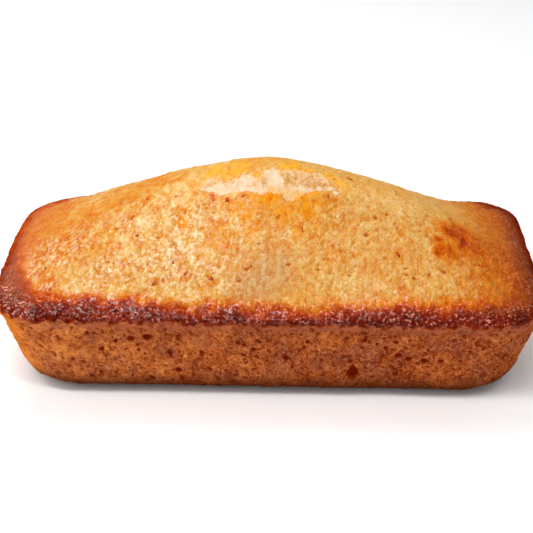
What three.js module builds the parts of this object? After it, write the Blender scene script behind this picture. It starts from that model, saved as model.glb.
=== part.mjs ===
// Financier: a small almond cake baked in a tapered oblong mould. The top has risen into a long crown with a
// hump in the middle, and the hump has split open along its front. The edge that stood above the mould is a
// proud, caramelised lip. The cake is whole and solid, in one piece.
//
// Millimetres. X runs along the cake, -Y is its front, Z is up, and the origin is the middle of the underside.

import * as THREE from "three";
import { ImprovedNoise } from "three/addons/math/ImprovedNoise.js";
import { mergeGeometries, mergeVertices } from "three/addons/utils/BufferGeometryUtils.js";

// Moulded body
const RIM_LENGTH = 90;
const RIM_WIDTH = 45;
const RIM_HEIGHT = 16.4;
const RIM_CORNER = 9.8; // plan radius of the corners at the rim
const BASE_CORNER = 8.7; // plan radius of the corners at the underside
const WALL_DRAFT = 4.4; // how far the wall leans in between the rim and the underside
const BASE_ROUND = 4.7; // reach of the rounded edge round the underside

// Caramelised lip, where the wall rolls over into the top
const LIP_DROP = 1.8; // how far below the rim it starts
const LIP_UNDERCUT = 0.28; // how far the wall sits back just under it
const LIP_SWELL = 0.55; // how far its curve is pulled outwards
const LIP_INSET = 0.9; // how far in from the rim it ends
const LIP_RISE = 0.7; // how far above the rim it ends

// Risen top
const CROWN_RISE = 5.1;
const CROWN_END_POWER = 4.6; // the higher, the later the top falls away to its ends
const HUMP_RISE = 11.5;
const HUMP_CENTRE_X = -0.8;
const HUMP_LEFT_REACH = 33;
const HUMP_RIGHT_REACH = 31;
const HUMP_BELL_POWER = 1.6;
const HUMP_FLANK_POWER = 1.2;

// Split in the front of the hump
const SPLIT_CENTRE_X = 0.3;
const SPLIT_CENTRE_Y = -5;
const SPLIT_LENGTH = 25;
const SPLIT_WIDTH = 5.6;
const SPLIT_DEPTH = 1.5;
const SPLIT_LIP_RISE = 0.45;
const SPLIT_LIP_PLACE = 1.3; // in half widths from the middle of the split
const SPLIT_LIP_SPREAD = 0.35;
const SPLIT_WANDER = 0.6;
const SPLIT_WANDER_SIZE = 3.4;

// Uneven crust, as pairs of height and size of its lumps
const CRUST_SWELLS = { height: 0.34, size: 7.5 };
const CRUST_LUMPS = { height: 0.3, size: 2.7 };
const LIP_BEADS = { height: 0.42, size: 2.3, spread: 1.9 };

// Open pores in the wall: those that stand out at the front, then others all round
const FRONT_PORES = [
  { x: -33.6, z: 13.6, radius: 1.3, depth: 0.8 },
  { x: -30.2, z: 10.1, radius: 1.4, depth: 0.9 },
  { x: -26.0, z: 12.1, radius: 1.6, depth: 0.8 },
  { x: -23.2, z: 12.2, radius: 1.7, depth: 0.9 },
  { x: -20.1, z: 13.5, radius: 1.2, depth: 0.7 },
  { x: -6.0, z: 11.2, radius: 1.4, depth: 0.8 },
  { x: -2.9, z: 9.8, radius: 1.4, depth: 0.9 },
  { x: 14.6, z: 4.4, radius: 1.6, depth: 0.8 },
];
const LOOSE_PORE_COUNT = 46;
const LOOSE_PORE_SEED = 31;
const LOOSE_PORE_RADIUS = { least: 0.9, most: 1.7 };
const LOOSE_PORE_DEPTH = { least: 0.3, most: 0.75 };
const LOOSE_PORE_BAND = { least: 0.2, most: 0.85 }; // share of the rim's height

// Fineness of the surface
const LENGTH_STEPS = 66;
const WIDTH_STEPS = 33;
const BASE_ROUND_STEPS = 3;
const WALL_STEPS = 6;
const LIP_STEPS = 4;
const AROUND_STEPS = 2 * (LENGTH_STEPS + WIDTH_STEPS);
const WELD_DISTANCE = 1e-3;

const CRUST_COLOUR = 0xd99a4a;
const CRUST_ROUGHNESS = 0.55;

const noise = new ImprovedNoise();

// Point of the plan for a step along and a step across the cake, inside a rounded oblong set in from the rim.
// Near a corner the square of steps is drawn in to the round of the corner.
function planPoint(alongStep, acrossStep, inset, corner) {
  const halfLength = RIM_LENGTH / 2 - inset;
  const halfWidth = RIM_WIDTH / 2 - inset;
  const x = halfLength * (2 * alongStep / LENGTH_STEPS - 1);
  const y = halfWidth * (2 * acrossStep / WIDTH_STEPS - 1);
  const cornerX = (Math.abs(x) - halfLength) / corner + 1;
  const cornerY = (Math.abs(y) - halfWidth) / corner + 1;
  if (cornerX <= 0 || cornerY <= 0) {
    return new THREE.Vector2(x, y);
  }
  const drawn = corner * (1 - Math.max(cornerX, cornerY) / Math.hypot(cornerX, cornerY));
  return new THREE.Vector2(
    x - Math.sign(x) * cornerX * drawn,
    y - Math.sign(y) * cornerY * drawn,
  );
}

// Steps along and across for a place on the edge of the plan, counted anticlockwise from the front left.
function edgeSteps(place) {
  const turn = place % AROUND_STEPS;
  if (turn < LENGTH_STEPS) {
    return [turn, 0];
  }
  if (turn < LENGTH_STEPS + WIDTH_STEPS) {
    return [LENGTH_STEPS, turn - LENGTH_STEPS];
  }
  if (turn < 2 * LENGTH_STEPS + WIDTH_STEPS) {
    return [2 * LENGTH_STEPS + WIDTH_STEPS - turn, WIDTH_STEPS];
  }
  return [0, AROUND_STEPS - turn];
}

// Height of the top above the end of the lip: a crown along the whole cake and a hump in its middle.
function topRise(alongStep, acrossStep) {
  const along = 2 * alongStep / LENGTH_STEPS - 1;
  const across = 2 * acrossStep / WIDTH_STEPS - 1;
  const fromHump = along * RIM_LENGTH / 2 - HUMP_CENTRE_X;
  const reach = fromHump < 0 ? HUMP_LEFT_REACH : HUMP_RIGHT_REACH;
  const bell = Math.exp(-((Math.abs(fromHump) / reach) ** HUMP_BELL_POWER));
  const arch = 1 - across ** 2;
  const ends = 1 - Math.abs(along) ** CROWN_END_POWER;
  return ends * (CROWN_RISE * arch + HUMP_RISE * bell * arch ** HUMP_FLANK_POWER);
}

function topPoint(alongStep, acrossStep) {
  const plan = planPoint(alongStep, acrossStep, LIP_INSET, RIM_CORNER);
  const z = RIM_HEIGHT + LIP_RISE + topRise(alongStep, acrossStep);
  return new THREE.Vector3(plan.x, plan.y, z);
}

// Section of the wall, from the underside up to the end of the lip: outwards from the rim, and height.
function wallSection() {
  const lipStart = -WALL_DRAFT * LIP_DROP / RIM_HEIGHT - LIP_UNDERCUT;
  const section = new THREE.Path();
  section.moveTo(-WALL_DRAFT - BASE_ROUND, 0);
  section.quadraticCurveTo(-WALL_DRAFT, 0, -WALL_DRAFT * (1 - BASE_ROUND / RIM_HEIGHT), BASE_ROUND);
  section.lineTo(lipStart, RIM_HEIGHT - LIP_DROP);
  section.quadraticCurveTo(LIP_SWELL, RIM_HEIGHT, -LIP_INSET, RIM_HEIGHT + LIP_RISE);
  const steps = [BASE_ROUND_STEPS, WALL_STEPS, LIP_STEPS];
  const stretches = section.curves.map((curve, order) => curve.getSpacedPoints(steps[order]));
  return stretches.flatMap((points, order) => (order === 0 ? points : points.slice(1)));
}

const SECTION = wallSection();

function wallPoint(place, step) {
  const { x: outwards, y: z } = SECTION[step];
  const corner = THREE.MathUtils.lerp(BASE_CORNER, RIM_CORNER, Math.min(z / RIM_HEIGHT, 1));
  const plan = planPoint(...edgeSteps(place), -outwards, corner);
  return new THREE.Vector3(plan.x, plan.y, z);
}

// Sheet of quads laid through the points of a function of column and row, both counted from one corner. Each
// quad is cut towards the nearest corner of the sheet, so that no cut lies along the round of the plan.
function sheet(columns, rows, pointAt) {
  const points = [];
  for (let row = 0; row <= rows; row++) {
    for (let column = 0; column <= columns; column++) {
      points.push(pointAt(column, row));
    }
  }
  const triangles = [];
  for (let row = 0; row < rows; row++) {
    for (let column = 0; column < columns; column++) {
      const near = row * (columns + 1) + column;
      const far = near + columns + 1;
      const cutRisesAlong = (column < columns / 2) === (row < rows / 2);
      if (cutRisesAlong) {
        triangles.push(near, near + 1, far + 1, near, far + 1, far);
      } else {
        triangles.push(near, near + 1, far, near + 1, far + 1, far);
      }
    }
  }
  return new THREE.BufferGeometry().setFromPoints(points).setIndex(triangles);
}

// Flat underside, a fan from its middle to the foot of the wall, facing down.
function underside() {
  const geometry = new THREE.CircleGeometry(1, AROUND_STEPS);
  const position = geometry.attributes.position;
  for (let spoke = 0; spoke <= AROUND_STEPS; spoke++) {
    const foot = wallPoint(AROUND_STEPS - spoke, 0);
    position.setXYZ(spoke + 1, foot.x, foot.y, foot.z);
  }
  geometry.deleteAttribute("normal");
  geometry.deleteAttribute("uv");
  return geometry;
}

// One closed, still smooth body, with the vertices along the seams of its three sheets welded.
function smoothBody() {
  const top = sheet(LENGTH_STEPS, WIDTH_STEPS, topPoint);
  const wall = sheet(AROUND_STEPS, SECTION.length - 1, wallPoint);
  return mergeVertices(mergeGeometries([top, wall, underside()]), WELD_DISTANCE);
}

function between(range, share) {
  return THREE.MathUtils.lerp(range.least, range.most, share);
}

// All pores of the wall, each as a point on the wall with a radius and a depth.
function wallPores() {
  const pores = FRONT_PORES.map(({ x, z, radius, depth }) => {
    const wallY = -RIM_WIDTH / 2 + WALL_DRAFT * (1 - z / RIM_HEIGHT);
    return { centre: new THREE.Vector3(x, wallY, z), radius, depth };
  });
  THREE.MathUtils.seededRandom(LOOSE_PORE_SEED);
  const draw = () => THREE.MathUtils.seededRandom();
  for (let count = 0; count < LOOSE_PORE_COUNT; count++) {
    const place = Math.floor(draw() * AROUND_STEPS);
    const height = RIM_HEIGHT * between(LOOSE_PORE_BAND, draw());
    const steps = SECTION.map((point) => Math.abs(point.y - height));
    const step = steps.indexOf(Math.min(...steps));
    pores.push({
      centre: wallPoint(place, step),
      radius: between(LOOSE_PORE_RADIUS, draw()),
      depth: between(LOOSE_PORE_DEPTH, draw()),
    });
  }
  return pores;
}

const PORES = wallPores();

function lumps(point, { height, size }) {
  return height * noise.noise(point.x / size, point.y / size, point.z / size);
}

function bump(distance, spread) {
  return Math.exp(-((distance / spread) ** 2));
}

// The split is a trough that narrows to both ends, between two lips where the crust has curled up.
function splitRelief(point) {
  const along = (point.x - SPLIT_CENTRE_X) / (SPLIT_LENGTH / 2);
  if (Math.abs(along) >= 1 || point.z < RIM_HEIGHT) {
    return 0;
  }
  const open = Math.sqrt(1 - along ** 2);
  const wander = SPLIT_WANDER * noise.noise(point.x / SPLIT_WANDER_SIZE, 0, 0);
  const across = Math.abs(point.y - SPLIT_CENTRE_Y - wander) / (open * SPLIT_WIDTH / 2);
  const trough = SPLIT_DEPTH * Math.max(0, 1 - across ** 2);
  const lip = SPLIT_LIP_RISE * bump(across - SPLIT_LIP_PLACE, SPLIT_LIP_SPREAD);
  return open * (lip - trough);
}

function poreRelief(point) {
  let sunk = 0;
  for (const { centre, radius, depth } of PORES) {
    sunk += depth * bump(point.distanceTo(centre), radius);
  }
  return -sunk;
}

// How far the crust stands out from the smooth body at a point. The flat underside has none.
function crustRelief(point) {
  const clearOfBase = THREE.MathUtils.smoothstep(point.z, 0, BASE_ROUND);
  const beads = lumps(point, LIP_BEADS) * bump(point.z - RIM_HEIGHT, LIP_BEADS.spread);
  const crust = lumps(point, CRUST_SWELLS) + lumps(point, CRUST_LUMPS);
  return clearOfBase * (crust + beads + splitRelief(point) + poreRelief(point));
}

function raiseCrust(geometry) {
  geometry.computeVertexNormals();
  const { position, normal } = geometry.attributes;
  const point = new THREE.Vector3();
  const outwards = new THREE.Vector3();
  for (let index = 0; index < position.count; index++) {
    point.fromBufferAttribute(position, index);
    outwards.fromBufferAttribute(normal, index);
    point.addScaledVector(outwards, crustRelief(point));
    position.setXYZ(index, point.x, point.y, point.z);
  }
  geometry.computeVertexNormals();
}

// Moves the body so that the middle of its box stands over the origin.
function centreOverOrigin(geometry) {
  geometry.computeBoundingBox();
  const middle = geometry.boundingBox.getCenter(new THREE.Vector3());
  geometry.translate(-middle.x, -middle.y, 0);
}

function cake() {
  const geometry = smoothBody();
  raiseCrust(geometry);
  centreOverOrigin(geometry);
  const crust = new THREE.MeshStandardMaterial({
    color: CRUST_COLOUR,
    roughness: CRUST_ROUGHNESS,
    metalness: 0,
  });
  const mesh = new THREE.Mesh(geometry, crust);
  mesh.name = "financier_cake";
  return mesh;
}

const financier = new THREE.Group();
financier.add(cake());

export default financier;
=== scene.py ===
# %% [markdown]
# # Dressing a financier cake
# A financier is a small almond cake, baked in a shallow oblong mould with sloping sides. The part exists
# already as one plain solid, at its real size. This lesson keeps that form and gives it the crust: golden
# and grainy on top, dark and sticky round the rim, porous on the sides, and torn open along the hump.
#
# Blender could decorate the solid with a material alone, but grains, beads and pores catch the light only
# if they are really there. So the solid is loaded as a frame, and a much finer mesh of the same form is
# laid over it.

# %% Load the solid
import math
import random

import bpy
import numpy as np
from mathutils import Matrix, Vector, kdtree, noise


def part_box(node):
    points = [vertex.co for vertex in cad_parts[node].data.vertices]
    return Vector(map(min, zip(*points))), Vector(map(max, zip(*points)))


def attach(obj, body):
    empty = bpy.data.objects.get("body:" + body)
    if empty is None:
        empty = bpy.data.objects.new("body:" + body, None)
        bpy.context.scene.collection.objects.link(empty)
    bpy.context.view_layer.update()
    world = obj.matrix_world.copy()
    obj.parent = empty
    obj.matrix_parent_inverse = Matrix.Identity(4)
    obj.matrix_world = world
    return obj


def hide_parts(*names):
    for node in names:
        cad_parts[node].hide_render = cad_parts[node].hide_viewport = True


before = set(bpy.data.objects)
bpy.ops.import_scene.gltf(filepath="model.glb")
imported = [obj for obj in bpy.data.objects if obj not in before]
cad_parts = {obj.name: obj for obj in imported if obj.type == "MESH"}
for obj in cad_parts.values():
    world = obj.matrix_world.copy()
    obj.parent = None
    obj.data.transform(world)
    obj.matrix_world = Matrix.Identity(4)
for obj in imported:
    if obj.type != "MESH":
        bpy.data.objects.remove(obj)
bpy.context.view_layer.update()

MM = 0.001
NODE = "financier_cake"
low_corner, high_corner = (np.array(corner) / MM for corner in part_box(NODE))
cake_length, cake_width, cake_height = high_corner - low_corner
print(f"the solid is {cake_length:.1f} by {cake_width:.1f} by {cake_height:.1f} mm")

# %% [markdown]
# ## The moulded form
# A mould gives a cake straight sloping walls, rounded corners and a rounded edge round the base. Above
# the rim the batter rises freely, here into a long crown with a hump in the middle. A sculpted or
# subdivided block could show that, but a few formulas are more exact: every size below is a share of the
# solid's own box, so the fine mesh lands on the solid without any fitting.

# %% Sizes of the form, in millimetres
BEAD_STAND = 0.18
rim_length = cake_length - 2 * BEAD_STAND
rim_width = cake_width - 2 * BEAD_STAND
rim_height = 0.485 * cake_height
rim_corner = 0.216 * cake_width
base_corner = 0.192 * cake_width
base_round = 0.1035 * cake_width
wall_draft = 0.097 * cake_width
lip_drop = 0.053 * cake_height
lip_rise = 0.0207 * cake_height
LIP_UNDERCUT = 0.28
LIP_SWELL = 0.55
LIP_INSET = 0.9
crown_rise = 0.151 * cake_height
hump_rise = 0.34 * cake_height
hump_centre = -0.009 * cake_length
hump_reach_left = 0.365 * cake_length
hump_reach_right = 0.343 * cake_length
CROWN_END_POWER = 4.6
HUMP_BELL_POWER = 1.6
HUMP_FLANK_POWER = 1.2
TIGHT_CORNER, ROUND_FOOT, LEFT_BULGE = 0.78, 1.1, 0.6
print(f"rim {rim_length:.1f} by {rim_width:.1f} mm at {rim_height:.1f} mm")


# %% Formulas of the plan
def soft_step(value, start, end):
    """From 0 at start to 1 at end, without a kink at either."""
    share = np.clip((value - start) / (end - start), 0, 1)
    return share * share * (3 - 2 * share)


def hill(distance, spread):
    """1 in the middle, and nearly 0 at twice the spread."""
    return np.exp(-((distance / spread) ** 2))


def corner_radius(along, across, level):
    """Radius of the corner nearest to each place, from the base at level 0 to the rim at level 1."""
    base = base_corner * np.where((along < 0) & (across < 0), ROUND_FOOT, 1)
    rim = rim_corner * np.where((along > 0) & (across > 0), TIGHT_CORNER, 1)
    return base + (rim - base) * level


def plan_points(along, across, inset, level):
    """Places in the plan for shares from -1 to 1 along and across, drawn in to a rounded oblong."""
    corner = corner_radius(along, across, level)[..., None]
    half = np.array([rim_length / 2 - inset, rim_width / 2 - inset])
    flat = np.stack([along, across], -1) * half
    past = np.maximum(np.abs(flat) - (half - corner), 0) / corner
    reach = np.hypot(past[..., 0], past[..., 1])
    in_corner = past.min(-1) > 0
    keep = np.where(in_corner, past.max(-1) / np.maximum(reach, 1e-9), 1)
    plan = flat - np.sign(flat) * past * corner * (1 - keep)[..., None]
    plan[..., 0] -= LEFT_BULGE * soft_step(-along, 0.75, 1) * hill(across - 0.4, 0.5)
    return plan


def inset_from_rim(points):
    """How far inside the rim's outline, seen from above, each point lies."""
    past = np.abs(points[:, :2]) - (np.array([rim_length, rim_width]) / 2 - rim_corner)
    outside = np.hypot(*np.maximum(past, 0).T)
    return rim_corner - outside - np.minimum(past.max(1), 0)


print(f"corners of {base_corner:.1f} mm at the base and {rim_corner:.1f} mm at the rim")


# %% Formulas of the risen top and of curves
def top_rise(along, across):
    """Height of the risen top above the end of the lip."""
    from_hump = along * rim_length / 2 - hump_centre
    reach = np.where(from_hump < 0, hump_reach_left, hump_reach_right)
    bell = np.exp(-((np.abs(from_hump) / reach) ** HUMP_BELL_POWER))
    arch = 1 - across ** 2
    ends = 1 - np.abs(along) ** CROWN_END_POWER
    return ends * (crown_rise * arch + hump_rise * bell * arch ** HUMP_FLANK_POWER)


def bend(start, control, end, steps):
    """Points along a quadratic curve, without its first point."""
    share = np.linspace(0, 1, steps + 1)[1:, None]
    start, control, end = (np.array(point) for point in (start, control, end))
    return start * (1 - share) ** 2 + control * 2 * share * (1 - share) + end * share ** 2


dome_top = top_rise(np.array(hump_centre * 2 / rim_length), np.array(0.0))
print(f"the dome rises {dome_top:.1f} mm above the lip")

# %% [markdown]
# ## One closed mesh of small quads
# The photograph shows crust grains about a millimetre wide, so the mesh needs a point every third of a
# millimetre. A voxel remesh would give that too, but a grid that is laid on purpose has even quads, knows
# where it is on the cake, and unrolls into a clean UV map. The top is one grid. Its edge carries on down
# the wall as rings, and the rings close over the flat base.

# %% Points of the top
STEP = 0.315
along_steps = round(rim_length / STEP)
across_steps = round(rim_width / STEP)
around_steps = 2 * (along_steps + across_steps)
along, across = np.meshgrid(
    np.linspace(-1, 1, along_steps + 1), np.linspace(-1, 1, across_steps + 1), indexing="ij"
)
top_plan = plan_points(along, across, LIP_INSET, 1.0)
top_height = rim_height + lip_rise + top_rise(along, across)
top_points = np.concatenate([top_plan, top_height[..., None]], -1).reshape(-1, 3)
print(f"{along_steps} by {across_steps} quads on the top")

# %% Rings down the wall and over the base
LIP_STEPS, WALL_STEPS, BASE_STEPS = 12, 34, 8
BASE_RING_SHARES = (0.66, 0.33)
edge_i = np.concatenate([
    np.arange(along_steps), np.full(across_steps, along_steps),
    np.arange(along_steps, 0, -1), np.zeros(across_steps, int),
])
edge_j = np.concatenate([
    np.zeros(along_steps, int), np.arange(across_steps),
    np.full(along_steps, across_steps), np.arange(across_steps, 0, -1),
])
edge_index = edge_i * (across_steps + 1) + edge_j

lip_end = (-LIP_INSET, rim_height + lip_rise)
lip_start = (-wall_draft * lip_drop / rim_height - LIP_UNDERCUT, rim_height - lip_drop)
wall_foot = (-wall_draft * (1 - base_round / rim_height), base_round)
base_edge = (-wall_draft - base_round, 0)
wall_middle = np.add(lip_start, wall_foot) / 2
section = np.concatenate([
    bend(lip_end, (LIP_SWELL, rim_height), lip_start, LIP_STEPS),
    bend(lip_start, wall_middle, wall_foot, WALL_STEPS),
    bend(wall_foot, (-wall_draft, 0), base_edge, BASE_STEPS),
])
rings = []
for outwards, height in section:
    level = min(height / rim_height, 1)
    plan = plan_points(along[edge_i, edge_j], across[edge_i, edge_j], -outwards, level)
    rings.append(np.column_stack([plan, np.full(around_steps, height)]))
for share in BASE_RING_SHARES:
    rings.append(rings[len(section) - 1] * share)
points = np.concatenate([top_points, *rings, np.zeros((1, 3))])
print(f"{len(points)} points, {len(section)} rings down the wall")

# %% Join them into faces
ring_index = len(top_points) + np.arange(len(rings) * around_steps).reshape(-1, around_steps)
ring_index = np.vstack([edge_index, ring_index])
grid_index = np.arange(len(top_points)).reshape(along_steps + 1, across_steps + 1)


def quads(upper_left, lower_left, lower_right, upper_right):
    return np.stack([upper_left, lower_left, lower_right, upper_right], -1).reshape(-1, 4)


top_faces = quads(grid_index[:-1, :-1], grid_index[1:, :-1], grid_index[1:, 1:], grid_index[:-1, 1:])
next_index = np.roll(ring_index, -1, axis=1)
wall_faces = quads(ring_index[:-1], ring_index[1:], next_index[1:], next_index[:-1])
middle = np.full(around_steps, len(points) - 1)
base_faces = np.stack([ring_index[-1], middle, next_index[-1]], -1)

crust_mesh = bpy.data.meshes.new("financier_crust")
all_faces = [*top_faces.tolist(), *wall_faces.tolist(), *base_faces.tolist()]
crust_mesh.from_pydata(points * MM, [], all_faces)
crust_mesh.shade_smooth()
normals = np.empty(len(points) * 3)
crust_mesh.vertices.foreach_get("normal", normals)
normals = normals.reshape(-1, 3)
triangles = 2 * (len(top_faces) + len(wall_faces)) + len(base_faces)
print(f"{triangles} triangles when it is cut up")

# %% [markdown]
# ## Where on the cake a point lies
# Almost everything about a crust depends on the way to the rim: the rim bakes darkest, the colour fades
# over a few millimetres up the dome, and below it begins the wall that lay against the mould. One signed
# distance holds that: above zero over the top, below zero down the wall. The soft masks for top, lip and
# wall all come from it.

# %% Distance from the rim, and soft masks
height = points[:, 2]
from_rim = np.where(
    height < rim_height,
    height - rim_height,
    np.hypot(np.maximum(inset_from_rim(points), 0), height - rim_height),
)
on_top = soft_step(from_rim, 0.8, 3.2)
on_lip = soft_step(from_rim, -1.0, 0.0) * (1 - soft_step(from_rim, 2.2, 4.4))
off_base = soft_step(height, 0.0, 0.5 * base_round)
on_wall = (1 - soft_step(from_rim, -1.6, -0.6)) * off_base
print(f"from {from_rim.min():.1f} mm down the wall to {from_rim.max():.1f} mm up the dome")


# %% [markdown]
# ## Uneven crust
# Batter sets in soft swells, and ground almonds and sugar stand out of it as small rounded grains. Where
# the top browned most they pucker into wormy ridges. Blender's `mathutils.noise` gives all of that:
# smooth Perlin noise makes swells, its absolute value makes rounded grains with creases between them, and
# the creases turned upside down make worms. Bending the points a little before they are looked up keeps
# the pattern from looking regular. That bending starts from the clock unless it is given a seed, so it
# gets one, and each run bakes the same cake. The hump stretched its skin while it rose, so the grains are
# drawn out up the slope.

# %% Helpers for swells, grains and beads
BATCH = 3
noise.seed_set(BATCH)


def swells(places, size, shift=0.0):
    """Smooth lumps of about that size, from -1 to 1."""
    return np.array([noise.noise(place) for place in (places / size + shift).tolist()])


def bent(places, size, reach):
    """Places pushed about by up to reach, so that what is looked up there turns irregular."""
    push = [noise.noise_vector(place) for place in (places / size).tolist()]
    return places + reach * np.array(push)


def grains(places, size, shift=0.0):
    """Rounded grains of about that size: 1 on their tops, 0 in the creases between them."""
    return np.minimum(np.abs(swells(places, size, shift)) / 0.45, 1)


def pebbles(places, size, shift=0.0):
    """Packed round beads of that size: 1 on their middles, 0 in the gaps."""
    found = (noise.voronoi(place)[0] for place in (places / size + shift).tolist())
    gaps = np.array([distances[:2] for distances in found])
    return np.clip(1.15 - 1.5 * gaps[:, 0] ** 2, 0, 1) * soft_step(gaps[:, 1] - gaps[:, 0], -0.1, 0.3)


print(f"noise starts from batch {BATCH}")

# %% Grain of the top
UPSLOPE = 0.8
x, y = points[:, 0], points[:, 1]
unrest = bent(points * (1.1, UPSLOPE, UPSLOPE), 1.6, 0.5)
soft_swell = 0.22 * swells(points, 9.0, 2.1) + 0.16 * swells(points, 3.4, 7.7)
coarse_grain = grains(unrest, 1.5)
fine_grain = grains(unrest, 0.9, 5.3)
worms = 1 - grains(unrest, 1.2, 8.1)
wormy = soft_step(-x, -8, 22) * soft_step(-y, 1, 11) * soft_step(swells(points, 7.0, 3.3), -0.7, 0.05)
plain_grain = 0.45 * coarse_grain + 0.55 * fine_grain
puckered_grain = 0.75 * worms ** 1.4 + 0.25 * fine_grain
grain = (1 - wormy) * plain_grain + wormy * puckered_grain
crest = soft_step(y, -9, 1) * (1 - soft_step(y, 8, 14))
calm = np.maximum(0.5 * soft_step(-x, 34, 42), 0.35 * soft_step(x, 28, 40) * soft_step(y, -2, 8))
calm = np.maximum(calm, crest * (0.42 * soft_step(-x, 14, 30) + 0.65 * hill(x, 16)))
patchy = np.clip(1 + 0.9 * swells(points, 6.0, 9.4), 0.5, 1.5) * (1 - 0.65 * calm)
grain_depth = 0.27 + 0.03 * soft_step(-x, -15, 20) + 0.06 * wormy + 0.16 * soft_step(x, 24, 38)
grain_depth *= patchy
print(f"worms on {np.mean(wormy[on_top > 0.5]):.0%} of the top")

# %% [markdown]
# ## The sticky lip
# Where the batter ran over the edge of the mould it fried in butter, and set as a crowd of glassy beads
# about a millimetre wide. Voronoi cells look like packed beads, so those are used here, in two sizes. At
# the back of the cake the lip stayed smooth, and the dome has a shallow hollow at the back right.

# %% Beads of the lip
at_front = soft_step(-y, -10, 10)
beaded = on_lip * (0.25 + 0.75 * at_front)
above_edge = soft_step(from_rim, -0.7, 0.6)
large_beads = pebbles(bent(points, 2.0, 0.6), 1.3, 11.0)
small_pebbles = pebbles(bent(points, 1.0, 0.3), 0.85, 3.9)
bead = 0.6 * large_beads + 0.4 * small_pebbles
BEAD_DEPTH = 0.45
relief = off_base * soft_swell
relief += on_top * grain_depth * (grain - 0.45)
relief += beaded * BEAD_DEPTH * (0.35 + 0.65 * above_edge) * (bead - 0.5)
back_hollow = hill(np.hypot((x - 31) / 5.5, (y - 7) / 7), 1)
relief -= on_top * back_hollow
print(f"beads stand up to {BEAD_DEPTH * (bead.max() - 0.5):.2f} mm proud")

# %% [markdown]
# ## The split
# The hump rose last, when the crust had set, and tore it open. The tear has a crisp ragged edge, a lip
# that curled up, and pale crumb inside. A Boolean cut would leave hard walls, so the tear is pressed in:
# two edges, each drawn through a few points, a little noise to make them ragged, and the depth grows from
# the edges inwards. At the right the crumb under the crust shows as a tan roof with small holes, and in
# front of it lies a tongue the colour of yolk.

# %% Edges and depth of the split
SPLIT_BACK = [(-11.7, -4.7), (-10.8, -3.6), (-8.3, -3.4), (-7.0, -4.6), (-5.4, -4.2), (-4.1, -3.4),
              (-2.9, -3.6), (-2.2, -4.3), (-1.5, -4.2), (-0.2, -2.2), (0.7, -1.5), (1.5, -2.4),
              (4.1, -1.6), (6.2, -1.7), (8.2, -1.0), (9.5, -2.2), (10.0, -3.9), (11.9, -4.1)]
SPLIT_FRONT = [(-11.7, -4.9), (-9.8, -6.0), (-7.2, -7.0), (-3.9, -6.8), (-1.4, -7.5), (1.7, -7.2),
               (2.9, -8.1), (4.0, -8.1), (5.9, -6.5), (7.7, -5.5), (10.1, -4.8), (10.8, -5.4),
               (11.9, -4.5)]
ROOF_FRONT = [(0.9, -1.1), (1.8, -3.7), (2.6, -5.1), (4.2, -5.2), (6.6, -4.8), (8.5, -3.9), (10.0, -3.9)]
SPLIT_DEPTH, SPLIT_CURL = 0.6, 0.28


def along_line(line):
    """How far across the cake a line drawn through a few points lies at each point's place along it."""
    return np.interp(x, *np.transpose(line))


ragged = 0.34 * swells(points, 1.1, 4.4) + 0.22 * swells(points, 0.5, 9.1)
past_ends = np.minimum(x - SPLIT_BACK[0][0], SPLIT_BACK[-1][0] - x) + ragged
past_back = along_line(SPLIT_BACK) - y + 1.3 * ragged
past_front = y - along_line(SPLIT_FRONT) + ragged
crumb = soft_step(past_ends, -0.3, 0.5) * soft_step(past_back, -1.3, 1.3)
crumb *= soft_step(past_front, -0.15, 0.35)
crumb = np.where(height > rim_height, crumb, 0)
tanned = crumb * (1 - soft_step(past_back + 1.5 * ragged, -0.2, 2.0))
roof = crumb * soft_step(y - along_line(ROOF_FRONT) + 1.5 * ragged, -0.6, 0.8) * soft_step(x, 0.5, 1.8)
sunk = SPLIT_DEPTH * crumb * soft_step(past_back, -0.6, 3.0) * soft_step(past_front, -0.1, 0.9)
yolky = crumb * soft_step(x, -2, 3) * soft_step(-y, 5.0, 6.4) * (1 - soft_step(x, 8, 9.5))
sunk *= (1 - 0.5 * roof) * (1 - 0.7 * yolky)
beside_split = soft_step(past_back, -1.5, 0.0) * soft_step(past_ends, -1.5, 0.0)
curl = SPLIT_CURL * hill(past_front + 0.75, 0.7) * beside_split
crumbly = crumb * (0.18 * swells(points, 1.0, 6.2) + 0.16 * swells(points, 0.55, 1.7))
relief = relief * (1 - 0.8 * crumb) + np.where(height > rim_height, curl, 0) + crumbly - sunk
print(f"the split covers {np.count_nonzero(crumb > 0.5)} points, down to {sunk.max():.2f} mm")

# %% [markdown]
# ## Pores
# Steam escapes through the batter and leaves bubbles, which the mould cuts open: a foam of small hollows
# on the walls, and a few pinholes on top. The foam is a Voronoi pattern again, in which each cell gets a
# depth of its own by lot. The large pores that stand out at the front have places of their own. A
# `KDTree` finds the points near each of them and presses them in.

# %% Where the large pores lie
FRONT_PORES = [(-28.1, 13.6, 0.5), (-26.2, 10.0, 0.55), (-23.9, 11.7, 0.45), (-21.4, 12.3, 0.7),
               (-18.8, 12.5, 0.85), (-20.4, 11.0, 0.4), (-15.8, 14.3, 0.5), (-26.8, 5.0, 0.4),
               (-14.2, 5.5, 0.55), (-18.6, 3.7, 0.5), (-1.3, 14.8, 0.5), (-4.4, 11.9, 0.5),
               (-3.4, 11.4, 0.45), (-2.0, 10.4, 0.6), (3.5, 13.5, 0.35), (3.2, 8.6, 0.6),
               (-3.6, 9.2, 0.45), (3.0, 4.3, 0.45), (6.6, 12.1, 0.5), (13.9, 5.4, 1.1), (13.9, 6.6, 0.6),
               (15.5, 12.7, 0.5), (18.9, 11.1, 0.5), (20.5, 12.3, 0.5), (21.0, 9.4, 0.65),
               (22.7, 8.7, 0.6), (25.2, 8.5, 0.6), (27.9, 8.6, 0.5), (20.8, 5.3, 0.5), (37.1, 9.9, 0.4)]
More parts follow.
